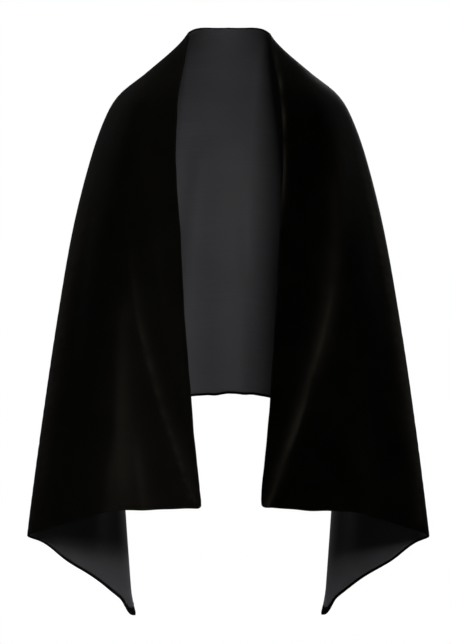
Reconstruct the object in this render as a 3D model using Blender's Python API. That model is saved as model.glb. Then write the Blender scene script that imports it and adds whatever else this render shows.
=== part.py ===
"""Evening stole: one rectangle of velvet backed with one of satin, bagged out so that the
velvet shows as a narrow rim round the satin, in the form it has round the shoulders.

Metres, +Z up. The wearer faces -Y. The origin is the middle of the line between the two
shoulder points, where the wearer carries the stole.
"""

from bisect import bisect
from collections import namedtuple
from functools import lru_cache

import bmesh
import bpy
import numpy as np

# Walls of cloth, measured out from the face where the velvet and the satin meet
VELVET_THICK = 0.0018
SATIN_THICK = 0.0011
SEAM_GAP = 0.0003
RIM_WIDTH = 0.007

# Heights of the upper edge where it leaves the front and at the centre back
NECK_SIDE_Z = 0.127
NAPE_Z = 0.141

# Rings round a general figure: the outline's half width, the front edge and the centre back
Level = namedtuple("Level", "z side edge_x edge_y back_y")
LEVELS = (
    Level(0.142, 0.059, 0.0575, -0.004, 0.064),
    Level(0.118, 0.072, 0.0675, -0.014, 0.071),
    Level(0.056, 0.140, 0.0770, -0.062, 0.093),
    Level(0.014, 0.189, 0.0835, -0.096, 0.108),
    Level(-0.026, 0.211, 0.0865, -0.114, 0.118),
    Level(-0.094, 0.2342, 0.0880, -0.130, 0.128),
    Level(-0.220, 0.2640, 0.0815, -0.140, 0.136),
    Level(-0.370, 0.2880, 0.0740, -0.136, 0.142),
    Level(-0.550, 0.3130, 0.0605, -0.131, 0.150),
    Level(-0.750, 0.3400, 0.0430, -0.127, 0.158),
    Level(-0.920, 0.3620, 0.0300, -0.124, 0.165),
)

# Folds that fan out from the shoulder, in their order round one side. angle is where each
# starts on the shoulder's oval, from the side to the centre back, and neck_angle where it is at
# the neck. low_x and low_y are where it hangs at LOW_Z, and round is how much of each half
# leg its turn takes there. The front edge has its place in LEVELS, at every height.
Fold = namedtuple("Fold", "name angle neck_angle low_x low_y round")
LOW_Z = -0.70
FOLDS = (
    Fold("front_edge", None, None, None, None, 0.0),
    Fold("chest", None, 1.0, 0.190, -0.160, 0.9),
    Fold("side", 0.0, 14.0, 0.338, -0.022, 0.30),
    Fold("rear_corner", 22.0, 27.0, 0.171, 0.126, 0.32),
    Fold("rear_turn", 38.0, 40.0, 0.308, 0.176, 0.50),
    Fold("rear_crest", 52.0, 52.0, 0.236, 0.222, 0.80),
    Fold("back_valley", 65.0, 65.0, 0.162, 0.158, 0.90),
    Fold("back_crest", 78.0, 78.0, 0.082, 0.186, 1.00),
    Fold("centre_back", 90.0, 90.0, 0.0, 0.158, 1.00),
)
SIDE_FOLD = 2
CORNER_FOLD = 3
LAST = len(FOLDS) - 1
# Above NECK_Z the ring is the neck's, and over FOLD_START the folds ease in under the shoulder
NECK_Z = 0.12
FOLD_START = 0.03

# Height of the lower edge, at places counted in folds from the front edge. The rectangle's
# short end runs down to its corner at the rear, and its long edge up again to the centre back.
Hem = namedtuple("Hem", "place z")
SHORT_END = (
    Hem(0.0, -0.6775),
    Hem(1.0, -0.682),
    Hem(1.45, -0.7035),
    Hem(2.0, -0.735),
    Hem(2.15, -0.7455),
    Hem(2.4, -0.7835),
    Hem(2.66, -0.8225),
    Hem(2.88, -0.8590),
    Hem(3.0, -0.8915),
)
LONG_EDGE = (
    Hem(3.0, -0.8915),
    Hem(4.0, -0.625),
    Hem(5.0, -0.565),
    Hem(6.0, -0.527),
    Hem(7.0, -0.505),
    Hem(8.0, -0.499),
)

# Creases on the fronts, each from its upper end past a middle point to its lower end
Crease = namedtuple("Crease", "side x0 z0 x1 z1 x2 z2 width height")
CREASES = (
    Crease(-1, 0.166, -0.22, 0.150, -0.40, 0.066, -0.660, 0.020, 0.0060),
    Crease(-1, 0.180, -0.16, 0.176, -0.42, 0.140, -0.690, 0.050, 0.0080),
    Crease(1, 0.180, -0.10, 0.180, -0.36, 0.068, -0.660, 0.034, 0.0120),
)

# Columns of the wall on one side, at places counted in folds from the front edge, and its
# rows: some from the neck to the shoulder, some from there to the lower edge
COLUMNS = (
    0.25, 0.5, 0.8, 1.1, 1.4, 1.65, 1.8, 1.9, 2.0, 2.1, 2.2, 2.4, 2.65, 2.82, 2.92, 3.0,
    3.08, 3.2, 3.4, 3.65, 3.82, 4.0, 4.18, 4.4, 4.7, 5.0, 5.35, 5.7, 6.0, 6.35, 6.7, 7.0, 7.5,
)
SHOULDER_ROWS = 7
FALL_ROWS = 14
SHOULDER_Z = -0.03


class Curve:
    """A smooth curve through points that never overshoots them, straight past its ends."""

    def __init__(self, xs, ys):
        self.xs, self.ys = [float(x) for x in xs], np.asarray(ys, float)
        step = np.diff(self.xs)
        slope = (np.diff(self.ys, axis=0).T / step).T
        self.tangents = np.zeros_like(self.ys)
        self.tangents[0], self.tangents[-1] = slope[0], slope[-1]
        product, total = slope[:-1] * slope[1:], slope[:-1] + slope[1:]
        same_way = product > 0
        self.tangents[1:-1][same_way] = 2 * product[same_way] / total[same_way]

    def at(self, x):
        xs, ys, tangents = self.xs, self.ys, self.tangents
        if x <= xs[0]:
            return ys[0] + tangents[0] * (x - xs[0])
        if x >= xs[-1]:
            return ys[-1] + tangents[-1] * (x - xs[-1])
        i = bisect(xs, x) - 1
        step = xs[i + 1] - xs[i]
        t = (x - xs[i]) / step
        return (
            ys[i] * (1 + 2 * t) * (1 - t) ** 2
            + tangents[i] * step * t * (1 - t) ** 2
            + ys[i + 1] * t * t * (3 - 2 * t)
            + tangents[i + 1] * step * t * t * (t - 1)
        )


RINGS = Curve([row.z for row in LEVELS[::-1]], [row[1:] for row in LEVELS[::-1]])
FRONT_HEM, BACK_HEM = (
    Curve([row.place for row in edge], [row.z for row in edge]) for edge in (SHORT_END, LONG_EDGE)
)


def growth(z):
    """How far the folds have opened at a height: 0 at the shoulder, 1 at LOW_Z."""
    if z >= 0:
        return 0.0
    return (np.hypot(z, FOLD_START) - FOLD_START) / (np.hypot(LOW_Z, FOLD_START) - FOLD_START)


def oval(fold, z):
    """Where a fold would stand at a height on the smooth oval that the shoulders make."""
    side, edge_x, edge_y, back_y = RINGS.at(z)
    up = min(1.0, max(0.0, z / NECK_Z))
    turn = np.radians(fold.neck_angle)
    neck = np.array([side * np.cos(turn), back_y * np.sin(turn)])
    if fold.name == "chest":
        below = np.array([0.45 * edge_x + 0.55 * side, 0.95 * edge_y])
    else:
        turn = np.radians(fold.angle)
        below = np.array([side * np.cos(turn), back_y * np.sin(turn)])
    return below + (neck - below) * up


LOW_SWINGS = [
    None if fold.low_x is None else np.array([fold.low_x, fold.low_y]) - oval(fold, LOW_Z)
    for fold in FOLDS
]


def ring(z):
    """The corners of the section's outline at a height, and how round each one is."""
    reach, edge_x, edge_y, _ = RINGS.at(z)
    opened = growth(z)
    corners = [np.array([edge_x, edge_y])]
    for fold, swing in zip(FOLDS[1:], LOW_SWINGS[1:]):
        corners.append(oval(fold, z) + opened * swing)
    rounding = [1 + (fold.round - 1) * min(1.0, opened) for fold in FOLDS]
    # The side's corner stands out so far that its rounded turn just reaches the outline
    if z < NECK_Z:
        side, chest, rear = corners[SIDE_FOLD], corners[SIDE_FOLD - 1], corners[SIDE_FOLD + 1]
        widest = side[0]
        for _ in range(4):
            front_leg = rounding[SIDE_FOLD] * (widest - chest[0]) / 2
            rear_leg = rounding[SIDE_FOLD] * (widest - rear[0]) / 2
            widest = reach + front_leg * rear_leg / (front_leg + rear_leg)
        side[0] += (widest - side[0]) * min(1.0, 1 - z / NECK_Z)
    return corners, rounding


def section_point(corners, rounding, place):
    """The point of a section at a place counted in folds: straight legs with rounded turns."""
    nearest = int(min(LAST, np.floor(place + 0.5)))
    turn = corners[nearest]
    after = corners[nearest + 1] if nearest < LAST else corners[LAST - 1] * (-1, 1)
    if nearest == 0:
        return turn + (after - turn) * place
    reach = rounding[nearest] / 2
    start, end = turn + (corners[nearest - 1] - turn) * reach, turn + (after - turn) * reach
    along = place - nearest
    if along < -reach:
        return turn + (turn - corners[nearest - 1]) * along
    if along > reach:
        return turn + (after - turn) * along
    t = (along + reach) / (2 * reach)
    return (1 - t) ** 2 * start + 2 * t * (1 - t) * turn + t * t * end


def top_of(place):
    """The height of the upper edge on a column."""
    t = place / LAST
    return NECK_SIDE_Z + (NAPE_Z - NECK_SIDE_Z) * t * t * (3 - 2 * t)


def hem_of(place):
    """The height of the lower edge on a column, with its corner at the rear."""
    return float((FRONT_HEM if place <= CORNER_FOLD else BACK_HEM).at(place))


def crease_height(side, x, z):
    """How far the creases of one front lift the cloth at a point."""
    lift = 0.0
    for crease in CREASES:
        if crease.side != side:
            continue
        ts = np.linspace(0, 1, 25)
        xs = (1 - ts) ** 2 * crease.x0 + 2 * ts * (1 - ts) * crease.x1 + ts**2 * crease.x2
        zs = (1 - ts) ** 2 * crease.z0 + 2 * ts * (1 - ts) * crease.z1 + ts**2 * crease.z2
        gaps = np.hypot(xs - x, zs - z)
        nearest = int(np.argmin(gaps))
        fade = np.sin(np.pi * np.clip(ts[nearest] * 0.86 + 0.07, 0, 1)) ** 0.7
        lift += crease.height * fade * np.exp(-((gaps[nearest] / crease.width) ** 2))
    return lift


def base_point(side, place, z):
    """A point of the face where the velvet and the satin meet, before the creases."""
    x, y = section_point(*ring(z), place)
    return np.array([side * x, y, z])


def height_of(place, fall):
    """The height at a share of the way down a column: the shoulder's rows end level."""
    top, hem, split = top_of(place), hem_of(place), SHOULDER_ROWS / (SHOULDER_ROWS + FALL_ROWS)
    if fall <= split:
        return top + (SHOULDER_Z - top) * fall / split
    return SHOULDER_Z + (hem - SHOULDER_Z) * (fall - split) / (1 - split)


def seam_point(across, fall):
    """across runs from -1 at one front edge, past 0 at the centre back, to 1; fall from 0 to 1."""
    side = -1.0 if across < 0 else 1.0
    place = LAST * (1 - abs(across))
    point = base_point(side, place, height_of(place, fall))
    if place < SIDE_FOLD:
        point[1] -= crease_height(side, abs(point[0]), point[2]) * min(1.0, 3 * (SIDE_FOLD - place))
    return point


@lru_cache(maxsize=None)
def seam_frame(across, fall):
    """A point, the outward normal and the two steps along the cloth there."""
    step = 1e-4
    a0, a1 = max(-1.0, across - step), min(1.0, across + step)
    f0, f1 = max(0.0, fall - step), min(1.0, fall + step)
    along = (seam_point(a1, fall) - seam_point(a0, fall)) / (a1 - a0)
    down = (seam_point(across, f1) - seam_point(across, f0)) / (f1 - f0)
    normal = np.cross(along, down)
    return seam_point(across, fall), normal / np.linalg.norm(normal), along, down


def edge_share(across, fall, width, sideways):
    """The share of the grid that a strip of this width takes at an edge of the cloth."""
    _, _, along, down = seam_frame(across, fall)
    lean = np.linalg.norm(np.cross(along, down)) / np.linalg.norm(down if sideways else along)
    return width / lean


def grid_spot(across_line, fall_line):
    """Where two lines of the grid cross. A line is its share of the way and, when it runs
    along an edge, its distance in from it. The other lines share what the rims leave."""
    (across, in_side), (fall, in_end) = across_line, fall_line
    edge = -1.0 if across < 0 else 1.0
    if in_side is None:
        spot = across * (1 - edge_share(edge, fall, RIM_WIDTH, True))
    else:
        spot = edge * (1 - edge_share(edge, fall, in_side, True))
    if in_end is None:
        top, end = (edge_share(across, shore, RIM_WIDTH, False) for shore in (0.0, 1.0))
        return spot, top + fall * (1 - top - end)
    strip = edge_share(across, fall, in_end, False)
    return spot, strip if fall == 0 else 1 - strip


def cloth_wall(name, colour, roughness, faces, strips, rim_face):
    """A closed wall of cloth between two faces, given as distances out from the seam.

    strips are the distances in from the cloth's edges at which it has lines of points. With
    a rim_face the first two lie on the rim, whose inner face stands that far out.
    """
    half = [(1 - place / LAST, None) for place in COLUMNS]
    columns = [(-share, None) for share, _ in half] + [(0.0, None)] + half[::-1]
    columns = [(-1.0, d) for d in strips] + columns + [(1.0, d) for d in strips[::-1]]
    rows = [(share, None) for share in np.linspace(0, 1, SHOULDER_ROWS + FALL_ROWS + 1)[1:-1]]
    rows = [(0.0, d) for d in strips] + rows + [(1.0, d) for d in strips[::-1]]
    grids = [[], []]
    for row in rows:
        lines = [[], []]
        for column in columns:
            point, normal, _, _ = seam_frame(*grid_spot(column, row))
            depth = min(RIM_WIDTH if line[1] is None else line[1] for line in (column, row))
            inner = rim_face if depth in strips[:2] and rim_face is not None else faces[0]
            lines[0].append(point + normal * faces[1])
            lines[1].append(point + normal * inner)
        for grid, line in zip(grids, lines):
            grid.append(line)
    return make_wall(name, colour, roughness, grids)


def cloth_face(mesh, points):
    """One face of the wall: a flat grid, in triangles that all lean one way, moved to its points."""
    made = bmesh.ops.create_grid(mesh, x_segments=len(points[0]) - 1, y_segments=len(points) - 1)
    bmesh.ops.triangulate(mesh, faces=mesh.faces, quad_method="FIXED")
    for vert, point in zip(made["verts"], [point for line in points for point in line]):
        vert.co = point


def make_wall(name, colour, roughness, grids):
    """The outer and the inner face as one closed wall, joined along their edges."""
    mesh = bmesh.new()
    for points in grids:
        cloth_face(mesh, points)
    bmesh.ops.bridge_loops(mesh, edges=[edge for edge in mesh.edges if edge.is_boundary])
    bmesh.ops.recalc_face_normals(mesh, faces=mesh.faces)
    data = bpy.data.meshes.new(name)
    mesh.to_mesh(data)
    mesh.free()
    data.shade_smooth()
    data.materials.append(cloth_material(name, colour, roughness))
    piece = bpy.data.objects.new(name, data)
    bpy.context.scene.collection.objects.link(piece)
    return piece


def cloth_material(name, colour, roughness):
    """A plain material in the cloth's own colour."""
    material = bpy.data.materials.new(name)
    material.use_nodes = True
    shader = material.node_tree.nodes["Principled BSDF"]
    shader.inputs["Base Color"].default_value = (*colour, 1.0)
    shader.inputs["Roughness"].default_value = roughness
    return material


def main():
    for old in list(bpy.data.objects):
        bpy.data.objects.remove(old)
    velvet_in, satin_out = SEAM_GAP / 2, -SEAM_GAP / 2
    satin_in = satin_out - SATIN_THICK
    rim = [0.0, RIM_WIDTH - 3 * SEAM_GAP, RIM_WIDTH - 2 * SEAM_GAP, RIM_WIDTH]
    velvet = (velvet_in, velvet_in + VELVET_THICK)
    cloth_wall("velvet_shell", (0.004, 0.004, 0.004), 0.9, velvet, rim, satin_in)
    cloth_wall("satin_lining", (0.03, 0.03, 0.033), 0.45, (satin_in, satin_out), rim[-1:], None)


main()
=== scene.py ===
# %% [markdown]
# # An evening stole, worn
#
# The real stole is a plain rectangle, 1.90 by 0.65 m: black velvet outside and black-grey
# satin inside, sewn round, turned, and pressed so that the velvet rolls to the inside as a
# narrow rim. Here it lies round the shoulders as a cape. One long edge goes round the nape
# and down both fronts, and the two lower corners swing to the rear and hang in points.
#
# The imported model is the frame: it fixes the size and the place. This script gives each
# piece its fine form and its finish, and stands exactly where the frame's pieces stand.

# %% Load the frame
import math
from collections import namedtuple

import bmesh
import bpy
import numpy as np
from mathutils import Matrix, Vector


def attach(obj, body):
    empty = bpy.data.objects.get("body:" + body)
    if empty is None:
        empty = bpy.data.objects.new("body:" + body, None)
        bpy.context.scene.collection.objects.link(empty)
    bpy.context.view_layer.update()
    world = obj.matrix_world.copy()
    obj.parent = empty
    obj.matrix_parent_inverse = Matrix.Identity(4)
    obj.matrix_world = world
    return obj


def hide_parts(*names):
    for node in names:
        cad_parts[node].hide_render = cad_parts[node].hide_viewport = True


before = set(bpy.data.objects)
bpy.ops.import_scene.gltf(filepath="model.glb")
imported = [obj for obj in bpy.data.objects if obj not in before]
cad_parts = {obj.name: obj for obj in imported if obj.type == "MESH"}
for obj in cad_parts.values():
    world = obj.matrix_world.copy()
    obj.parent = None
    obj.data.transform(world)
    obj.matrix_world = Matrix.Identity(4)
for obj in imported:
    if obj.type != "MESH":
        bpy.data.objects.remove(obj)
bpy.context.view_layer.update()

# %% [markdown]
# ## The camera
#
# The photograph looks straight at the wearer from the height of the waist. A camera can be
# aimed by eye, or worked out from what the photograph shows. Here the shoulders give the
# scale, in pixels to the metre, and a long lens at a few metres gives the flat, calm
# perspective of a shop photograph. Blender's sensor width belongs to the picture's long
# side, which is its height here, so only the height in pixels is needed.

# %% Set the camera from the photograph's scale
PHOTO_HIGH = 644
PIXELS_PER_METRE = 585
CAMERA_DISTANCE = 3.6
CAMERA_X, CAMERA_Z = -0.0051, -0.3709
SENSOR_MM = 36.0

camera_data = bpy.data.cameras.new("camera")
camera_data.sensor_width = SENSOR_MM
camera_data.lens = SENSOR_MM * CAMERA_DISTANCE * PIXELS_PER_METRE / PHOTO_HIGH
camera = bpy.data.objects.new("camera", camera_data)
bpy.context.scene.collection.objects.link(camera)
camera.location = (CAMERA_X, -CAMERA_DISTANCE, CAMERA_Z)
camera.rotation_euler = (math.radians(90), 0, 0)
bpy.context.scene.camera = camera
print("lens", round(camera_data.lens, 1), "mm")

# %% [markdown]
# ## The form: rings from the neck to the hem
#
# Worn cloth could be simulated on a dummy, drawn by hand, or worked out from sections. The
# outline in the photograph is known at every height, so sections are the surest way: at
# each height the cloth is one line round the figure, from one front edge, past the back,
# to the other. The table gives that line's size at some heights, and a smooth curve gives
# the heights between them.

# %% Sizes of the ring at each height
# Metres: half of the outline's width, the front edge's place, the centre back's depth
Level = namedtuple("Level", "z side edge_x edge_y back_y")
LEVELS = (
    Level(0.142, 0.059, 0.0575, -0.004, 0.064),
    Level(0.118, 0.072, 0.0675, -0.014, 0.071),
    Level(0.056, 0.140, 0.0770, -0.062, 0.093),
    Level(0.014, 0.189, 0.0835, -0.096, 0.108),
    Level(-0.026, 0.211, 0.0865, -0.114, 0.118),
    Level(-0.094, 0.2342, 0.0880, -0.130, 0.128),
    Level(-0.220, 0.2640, 0.0815, -0.140, 0.136),
    Level(-0.370, 0.2880, 0.0740, -0.136, 0.142),
    Level(-0.550, 0.3130, 0.0605, -0.131, 0.150),
    Level(-0.750, 0.3400, 0.0430, -0.127, 0.158),
    Level(-0.920, 0.3620, 0.0300, -0.124, 0.165),
)


def smooth_curve(xs, ys):
    """A function of x: a smooth curve through the points that never overshoots them."""
    xs, ys = np.asarray(xs, float), np.asarray(ys, float)
    step = np.diff(xs)
    slope = (np.diff(ys, axis=0).T / step).T
    tangent = np.zeros_like(ys)
    tangent[0], tangent[-1] = slope[0], slope[-1]
    product, total = slope[:-1] * slope[1:], slope[:-1] + slope[1:]
    same_way = product > 0
    tangent[1:-1][same_way] = 2 * product[same_way] / total[same_way]

    def curve(x):
        x = np.asarray(x, float)
        inside = np.clip(x, xs[0], xs[-1])
        i = np.clip(np.searchsorted(xs, inside, side="right") - 1, 0, len(step) - 1)
        width = step[i] if ys.ndim == 1 else step[i][..., None]
        t = (inside - xs[i]) / step[i]
        beyond = x - inside
        if ys.ndim > 1:
            t, beyond = t[..., None], beyond[..., None]
        end_slope = np.where(beyond < 0, tangent[0], tangent[-1])
        return (
            ys[i] * (1 + 2 * t) * (1 - t) ** 2
            + tangent[i] * width * t * (1 - t) ** 2
            + ys[i + 1] * t * t * (3 - 2 * t)
            + tangent[i + 1] * width * t * t * (t - 1)
            + end_slope * beyond
        )

    return curve


ring_sizes = smooth_curve([row.z for row in LEVELS[::-1]], [row[1:] for row in LEVELS[::-1]])
print("half width at the waist:", round(float(ring_sizes(-0.37)[0]), 3), "m")

# %% [markdown]
# ## The folds
#
# A cape's folds fan out from the shoulder, where the cloth is smooth, and open as they
# fall. So each fold needs two places: one on the smooth oval at the shoulder, and one low
# down, where it is fully open. In between it swings steadily from one to the other. The
# cloth runs straight from fold to fold and turns round each one, tightly or softly.

# %% Places of the folds
# angle and neck_angle are on the ovals of the shoulder and the neck, from the side to the
# centre back; low_x and low_y are the place at LOW_Z; round is how soft the turn is there
Fold = namedtuple("Fold", "name angle neck_angle low_x low_y round")
LOW_Z = -0.70
FOLDS = (
    Fold("front_edge", 0.0, 0.0, 0.0, 0.0, 0.0),
    Fold("chest", 0.0, 1.0, 0.190, -0.160, 0.9),
    Fold("side", 0.0, 14.0, 0.338, -0.022, 0.30),
    Fold("rear_corner", 22.0, 27.0, 0.171, 0.126, 0.32),
    Fold("rear_turn", 38.0, 40.0, 0.308, 0.176, 0.50),
    Fold("rear_crest", 52.0, 52.0, 0.236, 0.222, 0.80),
    Fold("back_valley", 65.0, 65.0, 0.162, 0.158, 0.90),
    Fold("back_crest", 78.0, 78.0, 0.082, 0.186, 1.00),
    Fold("centre_back", 90.0, 90.0, 0.0, 0.158, 1.00),
)
CHEST, SIDE, CORNER, LAST = 1, 2, 3, len(FOLDS) - 1
NECK_Z = 0.12
FOLD_START = 0.03
# The chest's place at the shoulder, as shares of the way to the side and to the front edge
CHEST_ACROSS, CHEST_FORWARD = 0.55, 0.95


def opened(z):
    """How far the folds have opened at a height: 0 at the shoulder, 1 at LOW_Z."""
    fall = np.hypot(np.minimum(z, 0), FOLD_START) - FOLD_START
    return fall / (math.hypot(LOW_Z, FOLD_START) - FOLD_START)


def on_oval(z, sizes):
    """Where every fold would stand on the smooth ovals of the shoulders and the neck."""
    side, edge_x, edge_y, back_y = np.moveaxis(sizes, -1, 0)
    up = np.clip(z / NECK_Z, 0, 1)
    places = np.empty(z.shape + (LAST + 1, 2))
    for k, fold in enumerate(FOLDS):
        low, neck = math.radians(fold.angle), math.radians(fold.neck_angle)
        below = np.stack([side * math.cos(low), back_y * math.sin(low)], -1)
        above = np.stack([side * math.cos(neck), back_y * math.sin(neck)], -1)
        if k == CHEST:
            chest_x = (1 - CHEST_ACROSS) * edge_x + CHEST_ACROSS * side
            below = np.stack([chest_x, CHEST_FORWARD * edge_y], -1)
        places[..., k, :] = below + (above - below) * up[..., None]
    places[..., 0, :] = np.stack([edge_x, edge_y], -1)
    return places


low_z = np.array([LOW_Z])
swings = np.array([(fold.low_x, fold.low_y) for fold in FOLDS]) - on_oval(low_z, ring_sizes(low_z))
swings[:, 0] = 0
print("folds on one side:", [fold.name for fold in FOLDS])

# %% [markdown]
# ## The line of one ring
#
# With its corners known, the ring's line needs rounding. A bevel on every corner would do
# it, but its radius would jump from ring to ring. A parabola in each corner, which starts
# and ends a set share of the way along the two legs, changes smoothly instead, and every
# point is found at once with arrays. The side's corner is pushed out, a little more exactly
# each round, until its rounded turn just touches the outline that was measured.

# %% Points of the rings
ROUNDS = 4


def ring_corners(z):
    """The corners of the ring at each height, and how far round each turn reaches."""
    sizes = ring_sizes(z)
    share = opened(z)
    corners = on_oval(z, sizes) + share[..., None, None] * swings
    softness = 1 + (np.array([fold.round for fold in FOLDS]) - 1) * np.minimum(share, 1)[..., None]
    widest, chest, rear = (corners[..., k, 0] for k in (SIDE, CHEST, CORNER))
    soft = softness[..., SIDE]
    measured = widest.copy()
    for _ in range(ROUNDS):
        front_leg, rear_leg = soft * (widest - chest) / 2, soft * (widest - rear) / 2
        widest = sizes[..., 0] + front_leg * rear_leg / np.maximum(front_leg + rear_leg, 1e-6)
    below_neck = np.clip(1 - z / NECK_Z, 0, 1)
    corners[..., SIDE, 0] = measured + (widest - measured) * below_neck
    return corners, softness


def ring_point(place, z):
    """x and y on the ring at a height, at a place counted in folds from the front edge."""
    corners, softness = ring_corners(z)
    mirrored = corners[..., LAST - 1 : LAST, :] * (-1, 1)
    corners = np.concatenate([corners, mirrored], axis=-2)
    nearest = np.clip(np.floor(place + 0.5), 0, LAST).astype(int)

    def take(k):
        return np.take_along_axis(corners, k[..., None, None], axis=-2)[..., 0, :]

    turn, after, before = take(nearest), take(nearest + 1), take(np.maximum(nearest - 1, 0))
    reach = np.take_along_axis(softness, nearest[..., None], axis=-1) / 2
    along = (place - nearest)[..., None]
    t = np.clip((along + reach) / np.maximum(2 * reach, 1e-9), 0, 1)
    start, end = turn + (before - turn) * reach, turn + (after - turn) * reach
    bend = (1 - t) ** 2 * start + 2 * t * (1 - t) * turn + t * t * end
    straight_in, straight_out = turn + (turn - before) * along, turn + (after - turn) * along
    first = (nearest == 0)[..., None]
    out = np.where((along > reach) | first, straight_out, bend)
    return np.where((along < -reach) & ~first, straight_in, out)


waist = ring_point(np.linspace(0, LAST, 50), np.full(50, -0.4))
print("ring at the waist: from", waist.min(axis=0).round(3), "to", waist.max(axis=0).round(3))

# %% [markdown]
# ## The upper and the lower edge
#
# The rectangle's own edge bounds the form. At the top it runs level round the nape. At the
# bottom it is the short end across each front, which drops to the rectangle's corner at the
# rear, and then the long edge, which climbs to the centre back. That corner is what hangs
# in a point, so the lower edge is two curves that meet there. Just before they meet, the
# short end drops steeply and then runs level, which rounds the tip into a small drop.

# %% Heights of the edges
Height = namedtuple("Height", "place z")
NECK_EDGE = (
    Height(0.0, 0.1180),
    Height(1.0, 0.1225),
    Height(2.0, 0.1290),
    Height(3.0, 0.1342),
    Height(4.0, 0.1376),
    Height(5.0, 0.1393),
    Height(8.0, 0.1412),
)
SHORT_END = (
    Height(0.0, -0.6775),
    Height(1.0, -0.682),
    Height(1.45, -0.7035),
    Height(2.0, -0.735),
    Height(2.15, -0.7455),
    Height(2.4, -0.7835),
    Height(2.66, -0.8225),
    Height(2.80, -0.8505),
    Height(2.84, -0.8600),
    Height(2.86, -0.8690),
    Height(2.88, -0.8810),
    Height(2.905, -0.8885),
    Height(2.94, -0.8910),
    Height(3.0, -0.8915),
)
LONG_EDGE = (
    Height(3.0, -0.8915),
    Height(3.05, -0.8880),
    Height(3.12, -0.8660),
    Height(4.0, -0.625),
    Height(5.0, -0.565),
    Height(6.0, -0.527),
    Height(7.0, -0.505),
    Height(8.0, -0.499),
)
RIPPLE = 0.0008
Wave = namedtuple("Wave", "rate size start")
RIPPLE_WAVES = (Wave(4.1, 1.0, 0.0), Wave(9.7, 0.7, 1.3), Wave(17.9, 0.4, 4.0))
neck_edge = smooth_curve([row.place for row in NECK_EDGE], [row.z for row in NECK_EDGE])
short_end = smooth_curve([row.place for row in SHORT_END], [row.z for row in SHORT_END])
long_edge = smooth_curve([row.place for row in LONG_EDGE], [row.z for row in LONG_EDGE])


def ripple(run):
    """The small unevenness of a sewn edge: three waves of lengths that don't line up."""
    return RIPPLE * sum(wave.size * np.sin(wave.rate * run + wave.start) for wave in RIPPLE_WAVES)


def hem_z(across):
    """The height of the lower edge, at shares of the way across from the centre back."""
    place = LAST * (1 - np.abs(across))
    return np.where(place <= CORNER, short_end(place), long_edge(place)) + ripple(LAST * across)


print("hem: front", short_end(0.0).round(3), "corner", short_end(3.0).round(3))

# %% [markdown]
# ## Creases
#
# Real cloth is never as even as its sections. The photograph shows a few long soft ridges
# that run from the upper arm to each front corner, where the cloth's own weight pulls it.
# They could come from a simulation, but then they would fall anywhere. Listed one by one as
# rows of a table, each along its own curve, they lie where the photograph has them. The
# sides and the back, which it doesn't show, get similar ones.
#
# A ridge also changes the velvet: over a sharp bend the pile opens, the light reaches the
# sides of its threads, and the crest looks greyer. That grey is a painted highlight: each row
# has a painted sheen beside its width and height, which lightens the colour along the crest.
# The painted highlight has a narrow core on the crest and a faint glow round it. A
# crease starts from almost nothing, stands highest past its middle, and still stands at its
# end, which is the hem for most of them.

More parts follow.
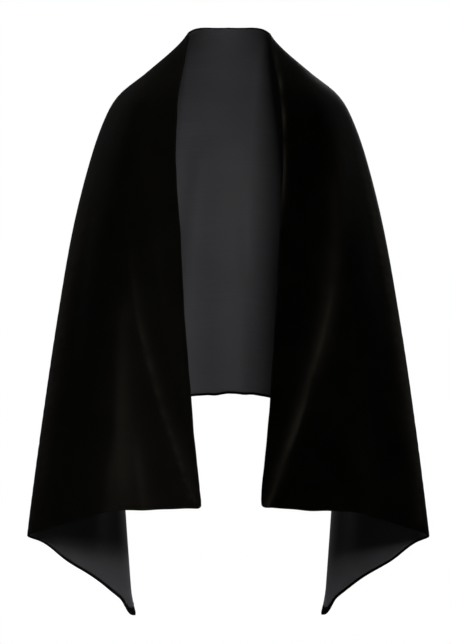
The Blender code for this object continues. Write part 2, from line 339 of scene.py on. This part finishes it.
# %% Creases, listed one by one
# Each is drawn on the view that shows it best, from its first point to its last, bent
# towards the middle one: u is x on the front and the back, and y on the sides. All in
# metres but the last, the strength of the painted highlight along the crest.
Crease = namedtuple("Crease", "view u0 z0 u1 z1 u2 z2 width height gloss")
CREASES = (
    Crease("front", -0.162, -0.255, -0.150, -0.405, -0.056, -0.668, 0.0055, 0.0050, 0.85),
    Crease("front", -0.140, -0.240, -0.128, -0.400, -0.040, -0.668, 0.0110, -0.0040, 0.00),
    Crease("front", -0.168, -0.330, -0.178, -0.500, -0.166, -0.690, 0.0180, 0.0065, 0.62),
    Crease("front", -0.180, -0.560, -0.190, -0.610, -0.194, -0.700, 0.0150, 0.0030, 0.50),
    Crease("front", -0.150, -0.560, -0.146, -0.620, -0.134, -0.690, 0.0110, 0.0030, 0.50),
    Crease("front", -0.118, -0.220, -0.114, -0.280, -0.105, -0.345, 0.0090, 0.0020, 0.10),
    # a painted highlight line just inside the left outline, with almost no height
    Crease("front", -0.216, -0.100, -0.277, -0.340, -0.324, -0.700, 0.0090, 0.0012, 0.45),
    Crease("front", 0.178, -0.070, 0.177, -0.280, 0.147, -0.450, 0.0200, 0.0060, 0.32),
    Crease("front", 0.165, -0.320, 0.132, -0.490, 0.063, -0.672, 0.0062, 0.0055, 0.90),
    Crease("front", 0.137, -0.340, 0.108, -0.500, 0.046, -0.660, 0.0120, -0.0040, 0.00),
    Crease("front", 0.196, -0.340, 0.214, -0.520, 0.226, -0.700, 0.0200, 0.0040, 0.06),
    # a painted highlight line just inside the right outline, with almost no height
    Crease("front", 0.214, -0.060, 0.288, -0.370, 0.324, -0.700, 0.0085, 0.0012, 0.70),
    # a painted highlight line along the right front edge, with almost no height
    Crease("front", 0.076, 0.093, 0.1030, -0.045, 0.085, -0.210, 0.0035, 0.0004, 1.10),
    Crease("left", -0.040, -0.16, -0.030, -0.42, -0.010, -0.740, 0.0230, 0.0035, 0.50),
    Crease("left", 0.050, -0.24, 0.060, -0.50, 0.090, -0.800, 0.0200, -0.0050, 0.00),
    Crease("right", -0.030, -0.12, -0.044, -0.40, -0.020, -0.740, 0.0240, 0.0040, 0.50),
    Crease("right", 0.040, -0.20, 0.066, -0.48, 0.080, -0.790, 0.0180, -0.0045, 0.00),
    Crease("back", -0.150, -0.05, -0.190, -0.28, -0.236, -0.560, 0.0160, 0.0045, 0.80),
    Crease("back", -0.060, -0.02, -0.110, -0.26, -0.120, -0.520, 0.0160, -0.0030, 0.00),
    Crease("back", 0.130, -0.04, 0.200, -0.26, 0.248, -0.560, 0.0150, 0.0045, 0.80),
    Crease("back", 0.080, -0.03, 0.090, -0.27, 0.130, -0.520, 0.0180, -0.0030, 0.00),
    Crease("back", 0.020, -0.02, 0.034, -0.22, 0.052, -0.490, 0.0180, 0.0020, 0.50),
    Crease("back", -0.036, -0.04, -0.070, -0.25, -0.076, -0.500, 0.0170, 0.0025, 0.45),
)
STEPS_ALONG = 40
CORE_SHARE, CORE_SHARPNESS, GLOW_SHARPNESS = 0.75, 1.5, 0.6
FADE_START, FADE_END, FADE_POWER = 0.02, 0.84, 0.7


def share_in_view(view, side, place):
    """How much of a crease a point takes: 1 in the crease's view, fading to 0 out of it."""
    if view == "front":
        return np.clip(4 * (SIDE + 0.1 - place), 0, 1)
    if view == "back":
        return np.clip(3 * (place - CORNER - 1), 0, 1)
    mine = side > 0 if view == "left" else side < 0
    return mine * np.clip(2 * (place - 1.3), 0, 1) * np.clip(3 * (CORNER - 0.1 - place), 0, 1)


def creases_at(side, place, points):
    """How far the creases lift the cloth out at each point, and how much painted highlight they put
    there.
    """
    lift, gloss = np.zeros(len(points)), np.zeros(len(points))
    t = np.linspace(0, 1, STEPS_ALONG)
    before, middle, after = (1 - t) ** 2, 2 * t * (1 - t), t * t
    for crease in CREASES:
        line_u = before * crease.u0 + middle * crease.u1 + after * crease.u2
        line_z = before * crease.z0 + middle * crease.z1 + after * crease.z2
        u = points[:, 1 if crease.view in ("left", "right") else 0]
        reach = 3 * crease.width
        share = share_in_view(crease.view, side, place)
        near = (share > 0) & (u > line_u.min() - reach) & (u < line_u.max() + reach)
        gaps = np.hypot(u[near, None] - line_u, points[near, 2, None] - line_z)
        turn = np.pi * (FADE_START + (FADE_END - FADE_START) * t[gaps.argmin(axis=1)])
        fade = share[near] * np.sin(turn) ** FADE_POWER
        off = gaps.min(axis=1) / crease.width
        core, glow = (np.exp(-((sharp * off) ** 2)) for sharp in (CORE_SHARPNESS, GLOW_SHARPNESS))
        lift[near] += crease.height * fade * np.exp(-(off**2))
        # painted highlight: how much grey is painted into the velvet along the crest
        gloss[near] += crease.gloss * fade * (CORE_SHARE * core + (1 - CORE_SHARE) * glow)
    return lift, gloss


print("creases:", len(CREASES))

# %% [markdown]
# ## From flat places to points in space
#
# Every point of the cloth has two shares: across, from one front edge to the other, and
# fall, from the upper edge to the lower one. One function turns any set of these into
# points in space. Its slopes give the outward direction, which lays a face of the cloth in
# front of or behind another, and the size of a millimetre along the cloth, which places
# the rim. The fronts of the photograph hang a few millimetres to the wearer's left, more
# so lower down, and that goes in here too, with the ripple of the front edges and the
# inward curl of the rear tips.

# %% Hang the cloth
LEAN_AT_SHOULDER, LEAN_AT_HEM, LEAN_REACH = 0.001, 0.004, 1.4
EDGE_RIPPLE, EDGE_WAVES, EDGE_REACH = 0.4, 7, 0.25
TIP_CURL, TIP_TOP, TIP_END, TIP_BEND = 0.0055, -0.845, -0.893, 1.5
MIDDLE_Y = 0.02  # creases stand away from the figure's middle, a little behind the shoulders


def unfolded(across, fall):
    """The smooth form before its creases, with each point's side and place."""
    place = LAST * (1 - np.abs(across))
    side = np.where(across < 0, -1.0, 1.0)
    top = neck_edge(place)
    z = top + (hem_z(across) - top) * fall
    xy = ring_point(place, z)
    lean = LEAN_AT_SHOULDER + (LEAN_AT_HEM - LEAN_AT_SHOULDER) * np.clip(z / short_end(0.0), 0, 1)
    x = side * xy[..., 0] + lean * np.clip(LEAN_REACH - place, 0, 1)
    x += EDGE_RIPPLE * ripple(EDGE_WAVES * z + side) * np.clip(1 - place / EDGE_REACH, 0, 1)
    x -= side * TIP_CURL * np.clip((z - TIP_TOP) / (TIP_END - TIP_TOP), 0, 1) ** TIP_BEND
    return np.stack([x, xy[..., 1], z], -1), side, place


def hang(across, fall):
    """The points where the velvet and the satin meet, for arrays of shares."""
    points, side, place = unfolded(across, fall)
    flat = points.reshape(-1, 3)
    outward = flat[:, :2] - (0, MIDDLE_Y)
    outward = outward / np.linalg.norm(outward, axis=1)[:, None]
    lift, _ = creases_at(side.ravel(), place.ravel(), flat)
    return np.column_stack([flat[:, :2] + outward * lift[:, None], flat[:, 2]]).reshape(points.shape)


def slopes(across, fall):
    """The points, the outward direction, and the steps along the cloth."""
    step = 2e-4
    left, right = hang(across - step, fall), hang(across + step, fall)
    above, below = hang(across, fall - step), hang(across, fall + step)
    along, down = (right - left) / (2 * step), (below - above) / (2 * step)
    out = np.cross(along, down)
    out /= np.linalg.norm(out, axis=-1)[..., None]
    return (left + right + above + below) / 4, out, along, down


def metre_shares(across, fall):
    """What share of the way across, and of the fall, a metre of cloth takes at each point."""
    _, _, along, down = slopes(across, fall)
    lean = np.linalg.norm(np.cross(along, down), axis=-1)
    return np.linalg.norm(down, axis=-1) / lean, np.linalg.norm(along, axis=-1) / lean


centre_back, front_corner = hang(np.array([0.0, -1.0]), np.array([1.0, 1.0]))
print("centre back hem", centre_back.round(3), "front corner", front_corner.round(3))

# %% [markdown]
# ## The grid of the cloth
#
# Each sheet is one grid of points with two faces. Cloth in soft light shows every uneven
# place, so the grid is fine, and finer still over the fronts. Its lines near the edges
# follow the edge at a set distance, because a rim and a rolled edge keep their width. The
# lines between them share out what is left.
#
# The rim is not equally wide all round. Along the neck and the fronts the velvet is
# pressed flush and barely shows inside. Along the rear hem, which hangs loose, it rolls
# further in, and at the rear corners both turnings meet and curl. The shares below count
# from the full rim, which the tables of the borders draw.

# %% Lines of the grid
ROWS = 92
# Columns on one side: how many there are from the end of the band before to this place
Band = namedtuple("Band", "place columns")
BANDS = (
    Band(1.0, 44),
    Band(2.15, 48),
    Band(2.82, 22),
    Band(3.0, 16),
    Band(3.14, 8),
    Band(4.0, 18),
    Band(8.0, 46),
)
NECK_CORNER_RADIUS, FRONT_CORNER_RADIUS = 0.010, 0.008
EDGE_RIM, NECK_RIM = 0.34, 0.30
Rim = namedtuple("Rim", "place share")
HEM_RIM = (
    Rim(0.0, 0.40),
    Rim(1.9, 0.40),
    Rim(2.5, 0.60),
    Rim(2.8, 0.65),
    Rim(2.86, 0.55),
    Rim(2.91, 1.40),
    Rim(3.0, 2.20),
    Rim(3.12, 1.20),
    Rim(3.5, 0.75),
    Rim(5.0, 0.65),
    Rim(8.0, 0.60),
)
hem_rim = smooth_curve([row.place for row in HEM_RIM], [row.share for row in HEM_RIM])

counts = np.cumsum([0] + [band.columns for band in BANDS])
places = np.interp(np.arange(counts[-1] + 1), counts, [0.0] + [band.place for band in BANDS])
half = places / LAST - 1
inner_across = np.concatenate([half[1:], -half[-2:0:-1]])
inner_fall = np.linspace(0, 1, ROWS)[1:-1]
print("lines inside the border:", len(inner_across), "across,", len(inner_fall), "down")


def lines(inner, first, depths):
    """The lines of one direction: shares, distances in from the edge, and where that counts."""
    count = len(depths)
    shares = np.concatenate([np.full(count, first), inner, np.ones(count)])
    inward = np.concatenate([depths, np.full(len(inner), depths[-1]), depths[::-1]])
    border = np.concatenate([np.ones(count, bool), np.zeros(len(inner), bool), np.ones(count, bool)])
    return shares, inward, border


def round_corner(from_side, from_end, radius):
    """Draw a square corner in to a round one: its lines become rings about one centre."""
    side, end = np.clip(1 - from_side / radius, 0, 1), np.clip(1 - from_end / radius, 0, 1)
    pull = np.maximum(side, end) / np.maximum(np.hypot(side, end), 1e-9)
    inside = (side > 0) & (end > 0)
    rounded_side, rounded_end = radius * (1 - side * pull), radius * (1 - end * pull)
    return np.where(inside, rounded_side, from_side), np.where(inside, rounded_end, from_end)


def cloth_grid(depths):
    """Shares across and down for every crossing of the lines, and how far in each one is."""
    across, side_in, at_side = (row[None, :] for row in lines(inner_across, -1.0, depths))
    fall, end_in, at_end = (row[:, None] for row in lines(inner_fall, 0.0, depths))
    depth = np.minimum(side_in, end_in)
    edge = np.where(across < 0, -1.0, 1.0) * np.ones_like(depth)
    fall = fall * np.ones_like(depth)
    side_metre, _ = metre_shares(edge, fall)
    spot = np.where(
        at_side,
        edge * (1 - side_metre * side_in * EDGE_RIM),
        across * (1 - side_metre * depths[-1] * EDGE_RIM),
    )
    _, top_metre = metre_shares(spot, np.zeros_like(spot))
    _, end_metre = metre_shares(spot, np.ones_like(spot))
    top_unit, end_unit = top_metre * NECK_RIM, end_metre * hem_rim(LAST * (1 - np.abs(spot)))
    between = depths[-1] * top_unit + fall * (1 - depths[-1] * (top_unit + end_unit))
    by_edge = np.where(fall < 0.5, top_unit * end_in, 1 - end_unit * end_in)
    down = np.where(at_end, by_edge, between)
    from_side = (1 - np.abs(spot)) / side_metre
    side_up, up = round_corner(from_side, down / top_metre, NECK_CORNER_RADIUS)
    side_low, low = round_corner(from_side, (1 - down) / end_metre, FRONT_CORNER_RADIUS)
    upper = fall < 0.5
    spot = edge * (1 - np.where(upper, side_up, side_low) * side_metre)
    return spot, np.where(upper, up * top_metre, 1 - low * end_metre), depth


# %% [markdown]
# ## The flat cut under the worn form
#
# Threads and pile follow the cut piece, not the figure. On the real stole the long edge
# runs down one front, round the nape and down the other, so each front's threads lie
# turned against those of the back. Every point gets its place on the flat rectangle by
# blending between the rectangle's edges, and the finishes read that place in metres. The
# edges are measured too, to see how much of the cut the worn form takes up.

# %% Places on the flat rectangle
CUT_LENGTH, CUT_WIDTH = 1.90, 0.65
NAPE_HALF = 0.09


def lengths(points, axis):
    """Distances along the cloth from the first line of points."""
    steps = np.linalg.norm(np.diff(points, axis=axis), axis=-1)
    return np.concatenate([np.zeros_like(steps.take([0], axis=axis)), np.cumsum(steps, axis=axis)], axis)


hem_places = np.linspace(0, LAST, 400)
hem_run = lengths(hang(hem_places / LAST - 1, np.ones(400)), 0)
corner_run = float(np.interp(CORNER, hem_places, hem_run))
front_run = lengths(hang(np.full(200, -1.0), np.linspace(0, 1, 200)), 0)[-1]
nape_run = lengths(hang(np.linspace(-1, 0, 200), np.zeros(200)), 0)[-1]
print("short end", round(corner_run, 3), "m, half of the back hem", round(hem_run[-1] - corner_run, 3))
print("front edge", round(front_run, 3), "m, half of the nape", round(nape_run, 3))


def flat_place(across, fall):
    """Where each point lies on the flat rectangle, in metres."""
    back = 1 - np.abs(across)
    middle = CUT_LENGTH / 2
    run = np.interp(back * LAST, hem_places, hem_run)
    on_short, on_long = run / corner_run, (run - corner_run) / (hem_run[-1] - corner_run)
    hem_u, hem_v = middle * np.clip(on_long, 0, 1), CUT_WIDTH * (1 - np.clip(on_short, 0, 1))
    top_u, top_v = middle - NAPE_HALF * (1 - back), CUT_WIDTH
    front_u, centre_v = (middle - NAPE_HALF) * (1 - fall), CUT_WIDTH * (1 - fall)
    u = (1 - fall) * top_u + fall * hem_u + (1 - back) * front_u + back * middle
    u -= (1 - fall) * ((1 - back) * (middle - NAPE_HALF) + back * middle) + fall * back * middle
    v = (1 - fall) * top_v + fall * hem_v + (1 - back) * CUT_WIDTH + back * centre_v
    v -= (1 - fall) * CUT_WIDTH + fall * (1 - back) * CUT_WIDTH
    return np.stack([np.where(across < 0, u, CUT_LENGTH - u), v], -1)


# %% [markdown]
# ## Making a sheet
#
# The cloth could be one surface with a solidify modifier, but the velvet's border is not
# of even thickness: it rolls round the edge and ends on the inside as a rim. So each sheet
# gets a table of its border, read from the edge inward: how far out each face stands. Two
# flat grids are joined along their edges and then moved to their points. Each point also
# keeps its distance from the edge and the creases' painted highlight, for the finishes.

# %% Join two grids into a sheet
Border = namedtuple("Border", "depth outer inner")


def make_sheet(name, border, sag):
    """A closed sheet whose border is drawn by the table; sag moves both its faces inward."""
    depths, outers, inners = (np.array(column) for column in zip(*border))
    across, fall, depth = cloth_grid(depths)
    points, out, _, _ = slopes(across, fall)
    flat = flat_place(across, fall)
    inward, down = lengths(points, 1), lengths(points, 0)
    from_side = np.minimum(inward, inward[:, -1:] - inward)
    from_end = np.minimum(down, down[-1:] - down)
    edge = np.minimum(from_side, from_end)
    smooth, side, place = unfolded(across, fall)
    # the creases' painted highlight at every point, stored for the velvet's colour
    _, gloss = creases_at(side.ravel(), place.ravel(), smooth.reshape(-1, 3))
    lifts = [np.interp(depth, depths, face) + sag(flat, edge) for face in (inners, outers)]
    faces = [points + out * lift[..., None] for lift in lifts]
    rows, columns = across.shape
    mesh = bmesh.new()
    for height in (0, 1):
        level = Matrix.Translation((0, 0, height))
        bmesh.ops.create_grid(mesh, x_segments=columns - 1, y_segments=rows - 1, size=1, matrix=level)
    bmesh.ops.bridge_loops(mesh, edges=[line for line in mesh.edges if line.is_boundary])
    bmesh.ops.recalc_face_normals(mesh, faces=mesh.faces)
    data = bpy.data.meshes.new(name)
    mesh.to_mesh(data)
    mesh.free()
    data.vertices.foreach_set("co", np.concatenate(faces).ravel())
    point_of_corner = np.empty(len(data.loops), np.int32)
    data.loops.foreach_get("vertex_index", point_of_corner)
    uv = data.uv_layers.new(name="flat")
    uv.data.foreach_set("uv", np.tile(flat.reshape(-1, 2), (2, 1))[point_of_corner].ravel())
    for label, values in (("from_edge", edge.ravel()), ("gloss", gloss)):
        data.attributes.new(label, "FLOAT", "POINT").data.foreach_set("value", np.tile(values, 2))
    data.shade_smooth()
    piece = bpy.data.objects.new(name, data)
    bpy.context.scene.collection.objects.link(piece)
    print(name, "triangles", sum(len(face.vertices) - 2 for face in data.polygons))
    return piece


# %% [markdown]
# ## The velvet
#
# The outer panel is cotton velvet. Its turned edge is a soft roll, about 3.5 mm through,
# and the rim behind it stands a little proud of the lining, because velvet is the thicker
# of the two.

# %% Velvet sheet
VELVET_BORDER = (
    Border(0.0000, 0.0008, -0.0003),
    Border(0.0004, 0.0014, -0.0010),
    Border(0.0011, 0.0018, -0.0015),
    Border(0.0022, 0.0020, -0.0018),
    Border(0.0045, 0.0020, -0.0018),
    Border(0.0061, 0.0020, -0.0017),
    Border(0.0067, 0.0020, -0.0011),
    Border(0.0069, 0.0020, 0.0002),
    Border(0.0110, 0.0020, 0.0002),
)


def no_sag(flat, edge):
    return np.zeros_like(edge)


velvet_outer = make_sheet("velvet_outer", VELVET_BORDER, no_sag)

# %% [markdown]
# ## The satin
#
# The lining is cut a little smaller than the velvet and eased in along the seam, so that
# it never pulls the velvet up. The ease shows as small uneven puckers that start at the
# rim and fade within a few centimetres. Their wave drifts and swells over two other,
# longer lengths, which keeps the puckers from repeating.

# %% Satin sheet
SATIN_BORDER = (
    Border(0.0070, -0.0005, -0.0008),
    Border(0.0075, -0.0002, -0.0012),
    Border(0.0086, -0.0002, -0.0013),
    Border(0.0110, -0.0002, -0.0013),
)
PUCKER_LENGTH, PUCKER_DEPTH, PUCKER_START, PUCKER_FADE = 0.031, 0.0011, 0.003, 0.016
DRIFT_LENGTH, DRIFT = 0.123, 1.9
SWELL_LENGTH, SWELL, SWELL_FROM = 0.217, 0.45, 0.8


def satin_sag(flat, edge):
    """How far the lining stands off the velvet at its puckers, always to the inside."""
    run = (flat[..., 0] + flat[..., 1]) * 2 * np.pi
    wave = np.sin(run / PUCKER_LENGTH + DRIFT * np.sin(run / DRIFT_LENGTH))
    strength = 1 - SWELL + SWELL * np.sin(run / SWELL_LENGTH + SWELL_FROM)
    start, fade = np.clip(edge / PUCKER_START, 0, 1), np.exp(-edge / PUCKER_FADE)
    return -PUCKER_DEPTH * strength * (0.5 + 0.5 * wave) * start * fade


satin_inner = make_sheet("satin_inner", SATIN_BORDER, satin_sag)

# %% [markdown]
# ## Finishes
#
# Colours are picked from the photograph and written the way a picture editor shows them,
# so one function turns them into the linear values that nodes work with. A second small
# function adds a node, sets its values and links it.

# %% Helpers for the finishes
def linear(colour):
    """The linear values of a colour written as #rrggbb."""
    parts = [int(colour[i : i + 2], 16) / 255 for i in (1, 3, 5)]
    return [p / 12.92 if p <= 0.04045 else ((p + 0.055) / 1.055) ** 2.4 for p in parts] + [1.0]


def add_node(tree, kind, inputs, **settings):
    """Add a node: settings are its own values, inputs are its sockets' values or links."""
    made = tree.nodes.new(kind)
    for name, value in settings.items():
        setattr(made, name, value)
    for socket, value in inputs.items():
        if isinstance(value, bpy.types.NodeSocket):
            tree.links.new(value, made.inputs[socket])
        else:
            made.inputs[socket].default_value = value
    return made


def new_material(name, piece):
    """An empty material on a piece: its tree and its shader."""
    material = bpy.data.materials.new(name)
    material.use_nodes = True
    piece.data.materials.append(material)
    return material.node_tree, material.node_tree.nodes["Principled BSDF"]


print("lining, mid grey:", [round(part, 4) for part in linear("#323234")[:3]])

# %% [markdown]
# ## Cotton velvet
#
# Velvet is woven as two cloths face to face and cut apart, and the cut threads stand up as
# a pile about 1.5 mm high. Looked at from above, light goes down between the threads and
# is lost, so the cloth is nearly black. Where it turns, the eye meets the sides of the
# threads, and a soft grey runs along every fold and edge. Wear and steam leave patches
# where the pile leans another way. A sheen layer alone lights the whole outline, which the
# photograph doesn't show. So the base is rough and near-black with a trace of sheen, and
# the grey of the crests is a painted highlight: the painted sheen kept with the creases
# mixes a grey into the base colour. A narrow band along every edge gets the same grey,
# which is partly real wear and partly painted sheen. A low bump and a slow change of the
# base give the patches. The pile also runs one way along the whole cut, so it points up on
# one front and down on the other and catches the light differently. That difference is
# painted light: the base follows the place along the cut, and the front on the viewer's
# left is painted lighter.

# %% Velvet finish
PILE_TUFT = 0.0016  # real tufts are 0.3 mm; drawn coarser, because a pixel covers 1.7 mm
NAP_PATCH = 0.055
# width of the band along every edge that is painted lighter: partly real wear, partly painted sheen
WORN_AND_SHEEN_EDGE = 0.0030

tree, shader = new_material("velvet", velvet_outer)
spot = add_node(tree, "ShaderNodeTexCoord", {})
tufts = add_node(
    tree, "ShaderNodeTexNoise",
    {"Vector": spot.outputs["Object"], "Scale": 1 / PILE_TUFT, "Detail": 2.0, "Roughness": 0.6},
)
patches = add_node(
    tree, "ShaderNodeTexNoise",
    {"Vector": spot.outputs["Object"], "Scale": 1 / NAP_PATCH, "Detail": 3.0, "Roughness": 0.55},
)
nap = add_node(
    tree, "ShaderNodeMapRange",
    {"Value": patches.outputs["Fac"], "From Min": 0.35, "From Max": 0.65},
)
cut = add_node(tree, "ShaderNodeUVMap", {}, uv_map="flat")
along_cut = add_node(tree, "ShaderNodeSeparateXYZ", {"Vector": cut.outputs["UV"]})
# painted light: the front on the viewer's left gets a lighter base, standing in for the light its pile
# catches
painted_lighter_front = add_node(
    tree, "ShaderNodeMapRange",
    {"Value": along_cut.outputs["X"], "From Min": 1.15, "From Max": 0.75, "To Min": 0.0, "To Max": 0.75},
)
# the real nap patches plus the painted lighter front
pale = add_node(
    tree, "ShaderNodeMath",
    {0: nap.outputs["Result"], 1: 0.25, 2: painted_lighter_front.outputs["Result"]},
    operation="MULTIPLY_ADD",
)
deep = add_node(
    tree, "ShaderNodeMix",
    {"Factor": pale.outputs["Value"], "A": linear("#020201"), "B": linear("#0f0e0c")},
    data_type="RGBA",
)
distance = add_node(tree, "ShaderNodeAttribute", {}, attribute_name="from_edge")
# the edge band painted lighter, for real wear and for painted sheen
worn_and_sheen = add_node(
    tree, "ShaderNodeMapRange",
    {"Value": distance.outputs["Fac"], "From Max": WORN_AND_SHEEN_EDGE, "To Min": 0.25, "To Max": 0.0},
)
# painted highlight: the grey that the creases paint along their crests
crest = add_node(tree, "ShaderNodeAttribute", {}, attribute_name="gloss")
uneven = add_node(
    tree, "ShaderNodeMapRange",
    {"Value": patches.outputs["Fac"], "From Min": 0.3, "From Max": 0.7, "To Min": 0.65, "To Max": 1.15},
)
crests = add_node(
    tree, "ShaderNodeMath",
    {0: crest.outputs["Fac"], 1: uneven.outputs["Result"], 2: worn_and_sheen.outputs["Result"]},
    operation="MULTIPLY_ADD", use_clamp=True,
)
# mixes the painted highlight grey into the near-black base along crests and edges
base = add_node(
    tree, "ShaderNodeMix",
    {"Factor": crests.outputs["Value"], "A": deep.outputs["Result"], "B": linear("#26241f")},
    data_type="RGBA",
)
lean = add_node(
    tree, "ShaderNodeBump",
    {"Height": patches.outputs["Fac"], "Strength": 0.25, "Distance": 0.004},
)
pile = add_node(
    tree, "ShaderNodeBump",
    {
        "Height": tufts.outputs["Fac"], "Normal": lean.outputs["Normal"],
        "Strength": 0.35, "Distance": 0.0006,
    },
)
tree.links.new(base.outputs["Result"], shader.inputs["Base Color"])
tree.links.new(pile.outputs["Normal"], shader.inputs["Normal"])
shader.inputs["Roughness"].default_value = 0.95
shader.inputs["Specular IOR Level"].default_value = 0.02
shader.inputs["Sheen Weight"].default_value = 0.01
shader.inputs["Sheen Roughness"].default_value = 0.35
shader.inputs["Sheen Tint"].default_value = linear("#cfc8bc")

# %% [markdown]
# ## Satin lining
#
# In a satin weave each warp thread floats over four or more others, so the face is nearly
# all warp: smooth along it, and shining softly in a band across it. A lining satin is
# dull, not glassy. Its threads are a tenth of a millimetre thick, far under a pixel, so
# they are drawn as faint streaks along the cut's length, where thick places in the thread
# would show. The puckers' finest part, too fine for the grid, is a bump that fades with
# the distance from the edge.

# %% Satin finish
THREAD_STREAK = 0.0022  # real threads are 0.1 mm; drawn coarser, because a pixel covers 1.7 mm
STREAK_LENGTH = 0.12
FINE_PUCKER = 0.0095

tree, shader = new_material("satin", satin_inner)
place = add_node(tree, "ShaderNodeUVMap", {}, uv_map="flat")
stretched = add_node(
    tree, "ShaderNodeMapping",
    {"Vector": place.outputs["UV"], "Scale": (1 / STREAK_LENGTH, 1 / THREAD_STREAK, 1.0)},
)
streaks = add_node(
    tree, "ShaderNodeTexNoise",
    {"Vector": stretched.outputs["Vector"], "Scale": 1.0, "Detail": 3.0, "Roughness": 0.6},
)
clouds = add_node(
    tree, "ShaderNodeTexNoise",
    {"Vector": place.outputs["UV"], "Scale": 1 / 0.09, "Detail": 2.0, "Roughness": 0.5},
)
eased = add_node(
    tree, "ShaderNodeTexNoise",
    {"Vector": place.outputs["UV"], "Scale": 1 / FINE_PUCKER, "Detail": 1.0, "Roughness": 0.4},
)
distance = add_node(tree, "ShaderNodeAttribute", {}, attribute_name="from_edge")
near_edge = add_node(
    tree, "ShaderNodeMapRange",
    {"Value": distance.outputs["Fac"], "From Min": 0.0, "From Max": 0.024, "To Min": 1.0, "To Max": 0.0},
    interpolation_type="SMOOTHSTEP",
)
fine = add_node(
    tree, "ShaderNodeMath",
    {0: eased.outputs["Fac"], 1: near_edge.outputs["Result"]},
    operation="MULTIPLY",
)
tone = add_node(
    tree, "ShaderNodeMath",
    {0: clouds.outputs["Fac"], 1: streaks.outputs["Fac"]},
    operation="MULTIPLY",
)
shade = add_node(
    tree, "ShaderNodeMapRange",
    {"Value": tone.outputs["Value"], "From Min": 0.15, "From Max": 0.38},
)
base = add_node(
    tree, "ShaderNodeMix",
    {"Factor": shade.outputs["Result"], "A": linear("#48484b"), "B": linear("#4d4d50")},
    data_type="RGBA",
)
weave = add_node(
    tree, "ShaderNodeBump",
    {"Height": streaks.outputs["Fac"], "Strength": 0.05, "Distance": 0.0003},
)
ease = add_node(
    tree, "ShaderNodeBump",
    {
        "Height": fine.outputs["Value"], "Normal": weave.outputs["Normal"],
        "Strength": 0.5, "Distance": 0.0015,
    },
)
tree.links.new(base.outputs["Result"], shader.inputs["Base Color"])
tree.links.new(ease.outputs["Normal"], shader.inputs["Normal"])
shader.inputs["Roughness"].default_value = 0.5
shader.inputs["Specular IOR Level"].default_value = 0.2
shader.inputs["Sheen Weight"].default_value = 0.02

# %% [markdown]
# ## The stage
#
# The photograph is a cut-out on white. A white world that only the camera sees at full
# strength gives that, and the light itself comes from soft lamps. The key stands high and
# a little to the viewer's right, since the right front edge shades the lining behind it.
# A narrow lamp from further right is aimed low, at the hanging corners. Two strips behind
# the sides graze the pile, and a lamp behind and one above light the back and the shoulders.
#
# The floor glows a little, so that it is as pale as the world behind it. It is seen but
# sends no light back up, as if it lay far below, because the photograph's lining is dark
# under the front hems.

# %% Floor, world and lamps
FLOOR_Z, FLOOR_RADIUS = -1.42, 3.0
level = Matrix.Translation((0, 0, FLOOR_Z))

mesh = bmesh.new()
bmesh.ops.create_circle(mesh, cap_ends=True, segments=96, radius=FLOOR_RADIUS, matrix=level)
floor_data = bpy.data.meshes.new("floor")
mesh.to_mesh(floor_data)
mesh.free()
floor = bpy.data.objects.new("floor", floor_data)
bpy.context.scene.collection.objects.link(floor)
floor.visible_diffuse = False
floor.visible_glossy = False
tree, shader = new_material("pale_floor", floor)
shader.inputs["Base Color"].default_value = linear("#f2f2f0")
shader.inputs["Roughness"].default_value = 0.8
shader.inputs["Emission Color"].default_value = (1, 1, 1, 1)
shader.inputs["Emission Strength"].default_value = 0.7

AMBIENT = 0.035
world = bpy.data.worlds.new("white")
world.use_nodes = True
bpy.context.scene.world = world
tree = world.node_tree
tree.nodes.clear()
rays = add_node(tree, "ShaderNodeLightPath", {})
soft = add_node(tree, "ShaderNodeBackground", {"Color": (1, 1, 1, 1), "Strength": AMBIENT})
seen = add_node(tree, "ShaderNodeBackground", {"Color": (1, 1, 1, 1), "Strength": 1.0})
both = add_node(
    tree, "ShaderNodeMixShader",
    {0: rays.outputs["Is Camera Ray"], 1: soft.outputs["Background"], 2: seen.outputs["Background"]},
)
add_node(tree, "ShaderNodeOutputWorld", {"Surface": both.outputs["Shader"]})
bpy.context.scene.view_settings.view_transform = "Standard"

Lamp = namedtuple("Lamp", "name x y z aim_x aim_z wide high watts spread")
LAMPS = (
    Lamp("key", 0.42, -4.1, 1.3, 0.0, -0.3, 0.9, 0.9, 73, 180),
    Lamp("right", 1.35, -3.45, 0.6, -0.15, -1.05, 0.6, 0.6, 0.85, 22),
    Lamp("right_strip", 2.7, 2.4, 0.6, 0.0, -0.3, 0.5, 1.6, 45, 180),
    Lamp("left_strip", -2.7, 2.4, 0.6, 0.0, -0.3, 0.5, 1.6, 45, 180),
    Lamp("back", 0.9, 4.2, 1.3, 0.0, -0.3, 1.6, 1.6, 300, 180),
    Lamp("top", 0.0, 1.2, 3.2, 0.0, -0.3, 2.6, 2.6, 50, 180),
)

for lamp in LAMPS:
    data = bpy.data.lights.new(lamp.name, "AREA")
    data.shape = "RECTANGLE"
    data.size, data.size_y, data.energy = lamp.wide, lamp.high, lamp.watts
    data.spread = math.radians(lamp.spread)
    light = bpy.data.objects.new(lamp.name, data)
    light.location = (lamp.x, lamp.y, lamp.z)
    light.visible_camera = False
    aim = Vector((lamp.aim_x, 0, lamp.aim_z)) - light.location
    light.rotation_euler = aim.to_track_quat("-Z", "Y").to_euler()
    bpy.context.scene.collection.objects.link(light)
print("lamps:", [lamp.name for lamp in LAMPS])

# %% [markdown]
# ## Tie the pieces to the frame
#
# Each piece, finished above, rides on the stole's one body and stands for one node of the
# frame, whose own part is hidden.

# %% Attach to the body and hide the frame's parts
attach(velvet_outer, "root")
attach(satin_inner, "root")
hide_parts("velvet_shell")
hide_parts("satin_lining")
